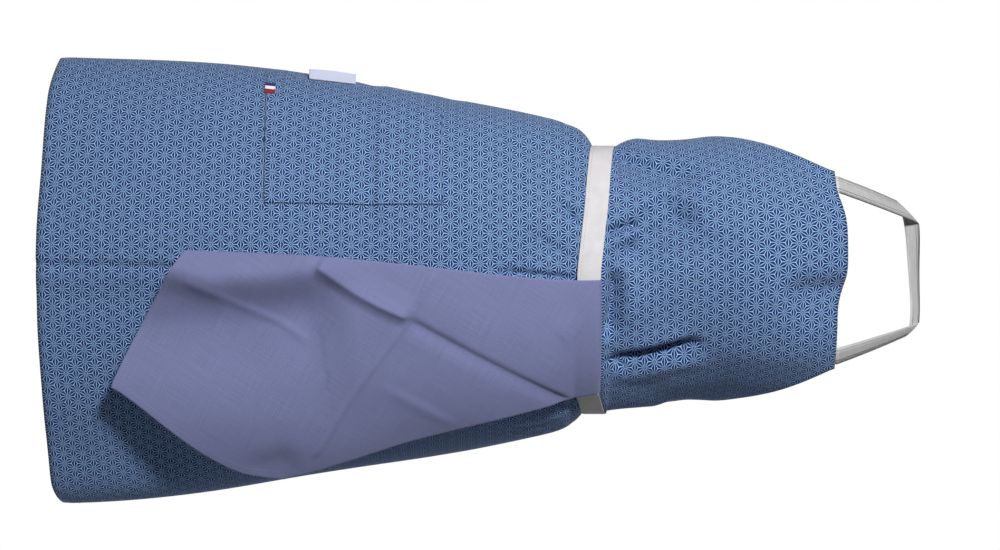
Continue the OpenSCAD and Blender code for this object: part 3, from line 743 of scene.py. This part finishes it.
# Woven label: a folded strip of white satin caught in the pocket's outer side seam, where it stands out
# sideways. It is left bare.
label_long, label_wide, label_drop, label_turn = 50, 18.5, 97, 54
label_fold, label_bend, label_out = 0.5, 0.4, 1.9
label_high = body_point(pocket_left - 0.8, pocket_mouth - label_drop, label_out)
label_low = body_point(pocket_left - 0.8, pocket_mouth - label_drop - label_long, label_out)
label_seam = unit(label_high - label_low)
label_way = np.array([-math.cos(math.radians(label_turn)), math.sin(math.radians(label_turn)), 0])
label_way = unit(label_way - label_seam * (label_way @ label_seam))
label_up = np.cross(label_seam, label_way)
bend_turn = np.linspace(0.3, 2.84, 7)
face_run = np.linspace(0, label_wide - label_bend, 14)
face_rise = np.full(len(face_run), label_fold)
strip = np.concatenate([face_run, face_run[-1] + label_bend * np.sin(bend_turn), face_run[::-1]])
rise = np.concatenate([face_rise, label_fold * np.cos(bend_turn), -face_rise])
run = np.linspace(0, 1, 25)[:, None]
bend = 0.9 * np.sin(np.pi * run) * (strip / label_wide) ** 2 + 0.5 * (strip / label_wide) ** 2
label_points = (label_low + (label_high - label_low) * run[..., None] + label_way * strip[:, None]
                + label_up * (rise * 0.8 + bend)[..., None])
label_flat = run_length(np.stack([strip, rise], -1))
label_uv = np.stack(np.broadcast_arrays(run * label_long, label_flat[None, :]), -1)

# Polyester satin: long floats of thread along the strip give it a soft gloss and a faint grain.
float_long, float_wide = 2.5, 0.35
satin, tree, uv = cloth_start("woven polyester satin")
per_float = (1 / (float_long * mm), 1 / (float_wide * mm), 1)
drawn = add(tree, "VectorMath", {0: uv, 1: per_float}, operation="MULTIPLY")
floats = add(tree, "TexNoise", {"Vector": drawn, "Scale": 1.0})
shade = add(tree, "MapRange", {"Value": floats, "To Min": 0.88, "To Max": 1.06})
tint = add(tree, "VectorMath", {0: linear("#d2d8f0")[:3], "Scale": shade}, operation="SCALE")
bump = add(tree, "Bump", {"Height": floats, "Strength": 0.3, "Distance": 0.3 * mm})
cloth_finish(tree, tint, bump, 0.42)
label = put("woven_label_strip", label_points, grid_faces(*label_points.shape[:2]), label_uv, [satin])
thicken(label, 0.25)
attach(label, "woven_label")
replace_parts(label, "woven_label")

# Waist ties: two long tapes of ecru cotton, folded lengthwise and topstitched near one edge. Each is sewn
# behind a side edge of the panel, crosses the back, comes round the other side and is knotted in front under
# the towel.
tie_wide, tape_thick, fit = 2 * tie_half, 1.5, 0.4
tuck_lean = math.tan(math.radians(5))
towel_left, towel_right = 4, 125
knot_s, knot_z, knot_wide, knot_thick = 52, -9.5, 27, 4
towel_thick, tuck_drop = 1.1, 22
layer_o = 1 + fit
tuck_thick = 1.5 * towel_thick
tuck_o = layer_o + fit + tuck_drop * tuck_lean
tie_o = layer_o + fit / 2
tie_front = tuck_o + tuck_thick + 1.5 * fit
cross_o = tape_thick + 3 * fit
tuck_past, rise_left, rise_right = 8, 14, 12
quarter_arc = 196


def waist_turn(s):
    """Degrees from the front for a length s along the cloth at the waist."""
    return math.degrees(float(turn_of(s, 0)))


edge_f, knot_f = waist_turn(waist_flat), waist_turn(knot_s)
knot_side = waist_turn(knot_s + knot_wide / 2 + fit) - knot_f
tuck_f = waist_turn(towel_left - tuck_past), waist_turn(towel_right + tuck_past)


def smooth(values, reach):
    """Running mean over reach samples, with the ends held."""
    padded = np.pad(values, reach // 2, mode="edge")
    return np.convolve(padded, np.ones(reach) / reach, "valid")[:len(values)]


def tape_ring(wide, thick):
    """Outline of a folded tape, as (across, out) pairs round it: rounded edges and a slightly full face."""
    turn = np.linspace(-np.pi / 2, np.pi / 2, 5)
    face = np.linspace(-1, 1, 13)[1:-1]
    crown = 0.12 * (1 - face ** 2)
    flat = wide / 2 - thick / 2
    right = np.stack([flat + thick / 2 * np.cos(turn), thick / 2 * np.sin(turn)], -1)
    top = np.stack([-face * flat, thick / 2 + crown], -1)
    return np.concatenate([right, top, -right, np.stack([face * flat, -thick / 2 - 0 * crown], -1)])


def tape(name, rings, lengths, material):
    """A closed tape from rings of points along it: side quads and an end face at each end. Its UV runs
    along and round it."""
    rows, cols = rings.shape[:2]
    faces = grid_faces(rows, cols, True)
    faces.append(list(range(cols))[::-1])
    faces.append(list(range((rows - 1) * cols, rows * cols)))
    uv = np.stack(np.broadcast_arrays(lengths[:, None], run_length(rings[0])[None, :]), -1)
    return put(name, rings, faces, uv, [material])


# Ecru cotton: unbleached twill tape, pale and matt. Its tone is uneven, and a few brown flecks of seed husk
# show in it.
cloud_wide, husk_apart, husk_share, ecru_yarn = 14, 9, 0.05, 1.1
ecru, tree, uv = cloth_start("unbleached cotton twill")
cloud = add(tree, "TexNoise", {"Vector": uv, "Scale": 1 / (cloud_wide * mm), "Detail": 5.0})
tone = add(tree, "MapRange", {
    "Value": cloud, "From Min": 0.3, "From Max": 0.7, "To Min": 0.93, "To Max": 1.04})
husk = add(tree, "TexVoronoi", {"Vector": uv, "Scale": 1 / (husk_apart * mm)})
speck = add(tree, "Math", {0: husk, 1: husk_share}, operation="LESS_THAN")
shade = add(tree, "Mix", {"Factor": speck, 6: linear("#d5d3d5"), 7: linear("#8d7a66")}, **as_colour)
shade = add(tree, "VectorMath", {0: shade, "Scale": tone}, operation="SCALE")
cloth_finish(tree, shade, weave_bump(tree, uv, ecru_yarn, 0.35), 0.85)
tie_thread = sewing_thread("unbleached sewing thread", "#a39a90")
tie_steps, tie_blur, lift_blur, tie_seam, seam_thick = 420, 15, 9, 8.9, 0.32


def lean_share(f):
    """Share of the tuck's outward lean that a tie takes at f degrees from the front: all over the tuck."""
    return (1 - ease((f - tuck_f[1]) / rise_right)) * (1 - ease((tuck_f[0] - f) / rise_left))


def tie(name, way, heights, offsets, end, stitch_at):
    """One tie: rings of tape at angles that grow from its sewn edge, with heights and offsets read off by
    angle. Way 1 passes the viewer's left, -1 the right."""
    f = np.linspace(edge_f - 3, end, tie_steps)
    high = smooth(np.interp(f, *np.array(heights).T), tie_blur)
    off = smooth(np.interp(f, *np.array(offsets).T), lift_blur)
    seen_f = way * f
    seen_f = np.where(seen_f > 180, seen_f - 360, np.where(seen_f < -180, seen_f + 360, seen_f))
    share = tuck_lean * lean_share(seen_f)
    off = off + waist_shift(quarter_arc / 90 * seen_f)

    def place(v, o):
        """Point of the tape v across and o out from its inner face."""
        z = high[:, None] + v
        return round_point(np.radians(seen_f)[:, None], z, off[:, None] + o + share[:, None] * z)

    ring = tape_ring(tie_wide, tape_thick)
    ring = ring if way > 0 else ring * (1, -1)
    rings = place(ring[:, 0], ring[:, 1] + tape_thick / 2)
    piece = tape(name, rings, run_length(rings[:, 0]), ecru)
    v = np.array([stitch_at])
    line, above = place(v, tape_thick + 0.1)[:, 0], place(v, tape_thick + 1.1)[:, 0]
    seam = put(name + "_stitching", *stitches([(line, above - line)], seam_thick), None, [tie_thread])
    for part in (piece, seam):
        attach(part, "apron")
    return piece


sewn_start = [(edge_f, -2.4), (edge_f + 3, -2.2)]
over_left, over_right = 360 + tuck_f[0], 360 - tuck_f[1]
tie_left = tie(
    "waist_tie_left_tape", -1,
    [(edge_f, -14), (165, -14), (195, 14), (265, 2), (290, -5), (over_right, knot_z)],
    sewn_start + [(165, 0), (195, 0), (206, tie_o), (over_right - rise_right, tie_o), (over_right, tie_front),
                  (360 - knot_f, tie_front)],
    360 - knot_f - knot_side + 1.5, tie_seam)
tie_right = tie(
    "waist_tie_right_tape", 1,
    [(edge_f, -14), (165, -14), (195, 14), (270, 11), (330, -1), (over_left, knot_z)],
    sewn_start + [(156, 0), (164, cross_o), (194, cross_o), (206, tie_o), (over_left - rise_left, tie_o),
                  (over_left, tie_front), (360 + knot_f, tie_front)],
    360 + knot_f - knot_side + 1.5, -tie_seam)
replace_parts(tie_left, "waist_tie_left")
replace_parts(tie_right, "waist_tie_right")

# Knot: the ties are tied once and drawn flat. One tape wraps slantwise over the other, and both loose ends
# hang from it under the towel.
knot_at = np.array(math.radians(knot_f)), np.array(knot_z)
knot_place = round_point(*knot_at, np.array(tie_front + tuck_lean * knot_z))
knot_ahead = round_point(*knot_at, np.array(tie_front + tuck_lean * knot_z + 1))
knot_out = unit(knot_ahead - knot_place)
knot_along = np.cross(knot_out, (0, 0, -1))
lean_turn = np.array(Matrix.Rotation(-math.atan(tuck_lean), 3, Vector(knot_along)))
knot_out = lean_turn @ knot_out
knot_up = np.cross(knot_out, knot_along)


def knot_wrap(name, wide, tall, thick, turn, base, crease):
    """A drawn tape of the knot: a flat pillow with squared sides, |x|^4 + |y|^4 + |z|^2 = 1, puckered by
    slanting creases, turned in its plane and lifted by base."""
    polar = np.linspace(0, np.pi, 25)[:, None]
    around = np.linspace(0, 2 * np.pi, 48, endpoint=False)[None, :]
    x, y, z = np.sin(polar) * np.cos(around), np.sin(polar) * np.sin(around), np.cos(polar) + 0 * around
    level = (np.abs(x) ** 4 + np.abs(y) ** 4) ** 0.25
    level = np.where(level > 1e-6, level, 1)
    spread = np.sqrt(x * x + y * y) ** 0.6 / level
    x, y = x * spread * wide / 2, y * spread * tall / 2
    z = z * thick / 2 + thick / 2 + crease * np.sin(0.9 * x + 0.35 * y) * np.maximum(z, 0)
    c, s = math.cos(math.radians(turn)), math.sin(math.radians(turn))
    flat_x, flat_y = c * x - s * y, s * x + c * y
    points = (knot_place + flat_x[..., None] * knot_along + flat_y[..., None] * knot_up
              + (z + base)[..., None] * knot_out)
    uv = np.stack([flat_x, flat_y], -1)
    return put(name, points, grid_faces(*points.shape[:2], True), uv, [ecru])


knot_pad = knot_wrap("waist_knot_pad", knot_wide, knot_wide - 2.5, knot_thick - 0.9, 0, 0, 0.15)
knot_band = knot_wrap("waist_knot_wrap", 15, knot_wide - 3, knot_thick - 0.4, 24, 0.4, 0.25)
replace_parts(knot_pad, "waist_knot")
tail_top = knot_z - knot_wide / 2 - 2 * fit


def tail(name, sway, long, base):
    """A loose end: a tape that falls from under the knot on to the skirt and hangs there, with its cut end
    turned up."""
    u = np.linspace(-0.04, 1, 70)[:, None]
    ring = tape_ring(tie_wide, tape_thick)[::-1]
    s = knot_s + sway * u + ring[:, 0] + 2.0 * np.sin(2.4 * u) * np.sign(sway)
    z = tail_top - long * u + 0 * ring[:, 0]
    fall = mix(tie_front + tail_top * tuck_lean, layer_o + 2 * fit, ease(2.5 * u))
    off = fall + base + 0.7 * np.sin(5 * u) ** 2
    points = worn_point(s, z, off + ring[:, 1] + tape_thick / 2)
    piece = tape(name, points, u[:, 0] * long, ecru)
    line = worn_point(knot_s + sway * u + 8, tail_top - long * u, off + tape_thick + 0.1)[4:, 0]
    out = np.repeat(knot_out[None, :], len(line), 0)
    seam = put(name + "_stitching", *stitches([(line, out)], seam_thick), None, [tie_thread])
    for part in (piece, seam):
        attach(part, "apron")
    return piece


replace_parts(tail("tie_tail_left_tape", -18, 112, 0), "tie_tail_left")
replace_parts(tail("tie_tail_right_tape", 22, 96, tape_thick + 2 * fit), "tie_tail_right")
for piece in (knot_pad, knot_band):
    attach(piece, "apron")

# Neck strap: one ecru tape, topstitched along both edges. Its ends are sewn behind the bib's top corners. It
# runs over the shoulders and is folded on the slant at each side into a band behind the neck.
strap_wide, strap_sewn, strap_inset, strap_seam = 22, 26, 2, 0.36
neck_bow, shoulder_lift, low_arch, high_arch = 12, 2, 9.6, 2.5
strap_o = -0.8 - 2 * fit - tape_thick / 2
fold_low = {-1: np.array([-85, 62, 343]), 1: np.array([68, 62, 354])}
fold_high = {-1: np.array([-59, 80, 372]), 1: np.array([53, 80, 372])}


def strap_edge(inset, fold_at, band_arch):
    """One edge of the strap from the left sewn end to the right one, in three stretches that meet at the
    folds: sewn piece and straight run, band that bows back and arches up, run and sewn piece. Points crowd to
    the folds by t = (1 - cos u) / 2."""
    t = (1 - np.cos(np.linspace(0, np.pi, 41)[:, None])) / 2
    arch = 4 * t * (1 - t)
    flat_arch = 1 - (2 * t - 1) ** 4
    ends = np.linspace(bib_long - strap_sewn, bib_long - 1, 8)
    reach = bib_flat - strap_inset - inset
    sew = {side: body_point(np.full(len(ends), side * reach), ends, strap_o) for side in (-1, 1)}
    corner = {side: sew[side][-1] * (1, 1, 0) + (0, 0, bib_long + 2 * fit) for side in (-1, 1)}
    up = mix(corner[-1], fold_at[-1], t) + arch * (0, 0, shoulder_lift)
    band = mix(fold_at[-1], fold_at[1], t) + arch * (0, neck_bow, 0) + flat_arch * (0, 0, band_arch)
    down = mix(fold_at[1], corner[1], t) + arch * (0, 0, shoulder_lift)
    return [np.concatenate([sew[-1], up]), band, np.concatenate([down, sew[1][::-1]])]


outer_runs, inner_runs = strap_edge(0, fold_low, low_arch), strap_edge(strap_wide, fold_high, high_arch)
along = np.concatenate([np.gradient(low + high, axis=0) for low, high in zip(outer_runs, inner_runs)])
outer, inner = np.concatenate(outer_runs), np.concatenate(inner_runs)
middle = (outer + inner) / 2
across = inner - outer
strap_out = unit(np.cross(across, along))
ring = tape_ring(1, tape_thick)
ring[:, 0] = ring[:, 0] / np.abs(ring[:, 0]).max() / 2
rings = middle[:, None] + across[:, None] * ring[:, 0, None] + strap_out[:, None] * ring[:, 1, None]
strap = tape("neck_strap_tape", rings, run_length(middle), ecru)
strap_lines = [(middle + across * share + strap_out * face * (tape_thick / 2 + 0.1), strap_out * face)
               for share in (-strap_seam, strap_seam) for face in (1, -1)]
strap_thread = sewing_thread("ecru sewing thread", "#d5d3d5")
strap_seams = put("neck_strap_stitching", *stitches(strap_lines, 0.24), None, [strap_thread])
for piece in (strap, strap_seams):
    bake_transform(piece)
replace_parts(strap, "neck_strap", "neck_strap_end_left", "neck_strap_end_right")

# Tea towel: a plain grey mauve cotton cloth with pressed creases and stitched hems. Its bunched corner is
# tucked behind the tie. The rest falls over the tie's upper edge, with both sides turned behind.
layer_pitch = 2.6
drop_o = tie_front + knot_thick + 2 * fit + (knot_z + knot_wide / 2) * tuck_lean
lip_top, lip_r = 3.6, 6
lip_z = lip_top - lip_r
tip = np.array([107, -503])
left_low, right_low = np.array([-25, -425]), np.array([207, -331])
tip_off, towel_hem = 24, 8
weave_left, weave_up = np.array([-0.86, 0.51]), np.array([0.51, 0.86])


def left_side(z):
    """Cloth position of the towel's left side at height z: bowed in and then out from the tie to its low
    corner, then a bowed hem to the tip."""
    u = np.clip(z / left_low[1], 0, 1)
    t = np.clip((z - left_low[1]) / (tip[1] - left_low[1]), 0, 1)
    upper = mix(towel_left, left_low[0], u) + 3 * np.sin(2 * np.pi * u ** 0.72)
    return np.where(z > left_low[1], upper, mix(left_low[0], tip[0], t) - 8 * 4 * t * (1 - t))


def right_side(z):
    """Cloth position of the towel's right side at height z: straight from the tie to its low corner, then a
    hem that bows out most near that corner, t (1 - t)^2, to the tip."""
    u = np.clip(z / right_low[1], 0, 1)
    t = np.clip((z - right_low[1]) / (tip[1] - right_low[1]), 0, 1)
    lower = mix(right_low[0], tip[0], t) + 14 * 6.75 * t * (1 - t) ** 2
    return np.where(z > right_low[1], mix(towel_right, right_low[0], u), lower)


# Folds of the towel: a round ridge and hollow by its low left corner, a crest that runs up into a pressed
# line, and other pressed lines across it.
crossing = (42, -196)
towel_creases = [
    (16, 20, 20,
     [(-18, -560), (-11, -440), (-2, -404), (1, -362), (-1, -330), (-9, -290), (-18, -220)], 0.28),
    (4, 12, 13, [(-8, -470), (-1, -440), (10, -404), (18, -376)], 0.2),
    (-17, 34, 60,
     [(52, -540), (52, -470), (52, -404), (54, -362), (50, -330), (42, -290), (38, -250)], 0.2),
    (8, 30, 13, [(-9, -292), (4, -272), (18, -250), (30, -226), crossing], 0.05, True),
    (-3.8, 4, 10, [(37, -209), (82, -124), (138, -17)], 0.13),
    (2.6, 6, 5, [(-7, -169), crossing, (107, -248), (184, -301)], 0.06, True),
    (1.4, 5, 7, [(106, -230), (157, -142)], 0.3),
    (1.4, 4, 5, [(0, -438), (26, -376), (46, -331), (72, -292)], 0.15),
    (-4.5, 15, 20, [(198, -376), (190, -350), (178, -306)], 0.4),
    (2, 16, 14, [(40, -12), (64, -44)], 0.3),
]


def towel_swell(s, z):
    """Outward height of the towel: its folds, a fuller right side and slow waves."""
    fuller = 8 * ease((s - 60) / 120) * ease((-z - 190) / 140)
    waves = 0.7 * np.sin(s / 27 + z / 43) + 0.5 * np.sin(s / 15 - z / 37 + 1)
    return folded(s, z, towel_creases) + fuller + waves


def towel_point(s, z, o):
    """Point of the towel, o out from its back layer: the body's outline, standing off more to the tip."""
    off = drop_o + tip_off * (np.maximum(0, -z) / -tip[1]) ** 2 * (0.42 + 0.58 * ease((s + 30) / 140))
    settle = ease((lip_z - z) / 36)
    return body_point(s, z, off + o + towel_swell(s, z) * settle)


def on_weave(flat):
    """Flat places on the towel counted along its threads, which run on the slant."""
    return np.stack([flat @ weave_left, flat @ weave_up], -1)


lip_turn = np.linspace(0, np.pi / 2, 9)[1:]
drop_z = np.concatenate([np.linspace(tip[1] + 1.0, -430, 30), np.linspace(-426, lip_z, 160)])
bent = np.concatenate([0 * drop_z, lip_turn])[:, None]
drop_z = np.concatenate([drop_z, np.full(len(lip_turn), lip_z)])[:, None]
left, right = left_side(drop_z), right_side(drop_z)
room = np.maximum(right - left - 6, 0)


def turned_behind(low, widens, widest, at_tie):
    """Width of a side turned behind, by height: none at the tip, the hem at its low corner, soon widest, and
    at_tie at the top; never past the other side."""
    return np.minimum(np.interp(drop_z, [tip[1], low, low + widens, 0], [0, towel_hem, widest, at_tie]), room)


flap_left = turned_behind(left_low[1], 90, 190, 30)
flap_right = turned_behind(right_low[1], 70, 180, 20)
front = 2 * layer_pitch
shrink = np.clip((right - left) / 12, 0.05, 1)
roll_left, roll_right = layer_pitch / 2 * shrink, layer_pitch * shrink
half_turn = np.linspace(0, np.pi, 9)[None, :]
flap_t, front_t = np.linspace(1, 0, 17)[None, :-1], np.linspace(0, 1, 120)[None, 1:-1]
behind_left, behind_right = np.maximum(flap_left - roll_left, 0), np.maximum(flap_right - roll_right, 0)
bend_left, bend_right = left + roll_left, right - roll_right
path_s = np.concatenate([
    bend_left + behind_left * flap_t, bend_left - roll_left * np.sin(half_turn),
    mix(bend_left, bend_right, front_t), bend_right + roll_right * np.sin(half_turn),
    bend_right - behind_right * flap_t[:, ::-1]], 1)
path_o = np.concatenate([
    front - 2 * roll_left + 0 * flap_t, front - roll_left - roll_left * np.cos(half_turn),
    front + 0 * left + 0 * front_t, front - roll_right + roll_right * np.cos(half_turn),
    front - 2 * roll_right + 0 * flap_t], 1)
lip_rest = lip_r - front + path_o
towel_o = front - lip_r + lip_rest * np.cos(bent) + towel_thick / 2
towel_points = towel_point(path_s, drop_z + 0 * path_s, towel_o)
towel_points[..., 2] += lip_rest * np.sin(bent)
unrolled = np.concatenate([
    left - behind_left * flap_t, left + 0 * half_turn, mix(left, right, front_t),
    right + 0 * half_turn, right + behind_right * flap_t[:, ::-1]], 1)
towel_flat = np.stack([unrolled - tip[0], drop_z + lip_r * bent - tip[1] + 0 * unrolled], -1)
towel_uv = on_weave(towel_flat)

# Towel cotton: an even plain weave, washed and ironed. Slightly uneven yarns give faint streaks
# along both threads.
streak_long, streak_wide, towel_yarn = 45, 0.9, 1.0
towel_cotton, tree, uv = cloth_start("ironed plain-weave cotton")
yarns = []
for long, wide in ((streak_long, streak_wide), (streak_wide, streak_long)):
    spread = (1 / (long * mm), 1 / (wide * mm), 1)
    stretched = add(tree, "VectorMath", {0: uv, 1: spread}, operation="MULTIPLY")
    yarns.append(add(tree, "TexNoise", {"Vector": stretched, "Scale": 1.0, "Detail": 2.0}))
yarn = add(tree, "Math", {0: yarns[0], 1: yarns[1]}, operation="ADD")
tone = add(tree, "MapRange", {
    "Value": yarn, "From Min": 0.7, "From Max": 1.3, "To Min": 0.9, "To Max": 1.1})
tint = add(tree, "VectorMath", {0: linear("#757ba4")[:3], "Scale": tone}, operation="SCALE")
cloth_finish(tree, tint, weave_bump(tree, uv, towel_yarn, 0.3), 0.75, 0.15)
towel_cloth_thick = 0.6
towel = put("towel_hanging_cloth", towel_points, grid_faces(*path_s.shape), towel_uv, [towel_cotton])
thicken(towel, towel_cloth_thick)

# The tucked part goes on from the towel's upper lip: level over the tie, round a small bend
# and down behind it.
front_o = drop_o + front + towel_thick / 2
tuck_mid = tuck_o + tuck_thick / 2
tuck_r, tuck_turned = 3.2, 24
quarter = np.linspace(0, np.pi / 2, 9)
over = np.concatenate([
    np.stack([np.linspace(front_o - lip_r + 0.3, tuck_mid + tuck_r, 6)[:-1], np.full(5, lip_top)], -1),
    np.stack([tuck_mid + tuck_r - tuck_r * np.sin(quarter), lip_top - tuck_r + tuck_r * np.cos(quarter)], -1),
    np.stack([np.full(12, tuck_mid), np.linspace(lip_top - tuck_r, -tuck_drop, 13)[1:]], -1)])
flat_t, place_t, layer_t = turned(towel_left, towel_right, np.linspace(towel_left, towel_right, 60),
                                  tuck_turned, tuck_turned, 7)
over_o, over_z = over[:, :1], over[:, 1:]
under = (1 - layer_t)[None, :] * towel_thick
gone = run_length(over)[:, None]
inward = np.gradient(over, axis=0)
inward = unit(np.stack([-inward[:, 1], inward[:, 0]], -1))
tuck_turn = turn_of(place_t, 0)[None, :]
behind = ease((gone - 3) / 8)
tuck_out = over_o + inward[:, :1] * under + behind * tuck_lean * over_z
tuck_z = over_z + inward[:, 1:] * under + 0 * tuck_turn
tuck_points = round_point(tuck_turn, 0 * tuck_z, tuck_out)
tuck_points[..., 2] = tuck_z
tuck_start = lip_z + lip_r * np.pi / 2 - tip[1]
tuck_uv = on_weave(np.stack(np.broadcast_arrays(flat_t[None, :] - tip[0], tuck_start + gone), -1))
tuck = put("towel_tucked_cloth", tuck_points, grid_faces(*tuck_uv.shape[:2]), tuck_uv, [towel_cotton])
thicken(tuck, towel_cloth_thick)

towel_thread = sewing_thread("mauve sewing thread", "#a3a7cc")
front_face = front + towel_thick / 2 + towel_cloth_thick / 2 + 0.05
hem_in = towel_hem + 1
hem_left = np.linspace(tip[1] + hem_in, left_low[1] - 3, 60)
hem_right = np.linspace(tip[1] + hem_in, right_low[1] - 3, 90)
towel_lines = [sewn(towel_point, left_side(hem_left) + hem_in, hem_left, front_face),
               sewn(towel_point, right_side(hem_right) - hem_in, hem_right, front_face)]
towel_seams = put("towel_hem_stitching", *stitches(towel_lines, seam_thick), None, [towel_thread])
for piece in (towel, towel_seams):
    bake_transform(piece)
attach(tuck, "towel_tuck")
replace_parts(towel, "towel_drop")
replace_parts(tuck, "towel_tuck")
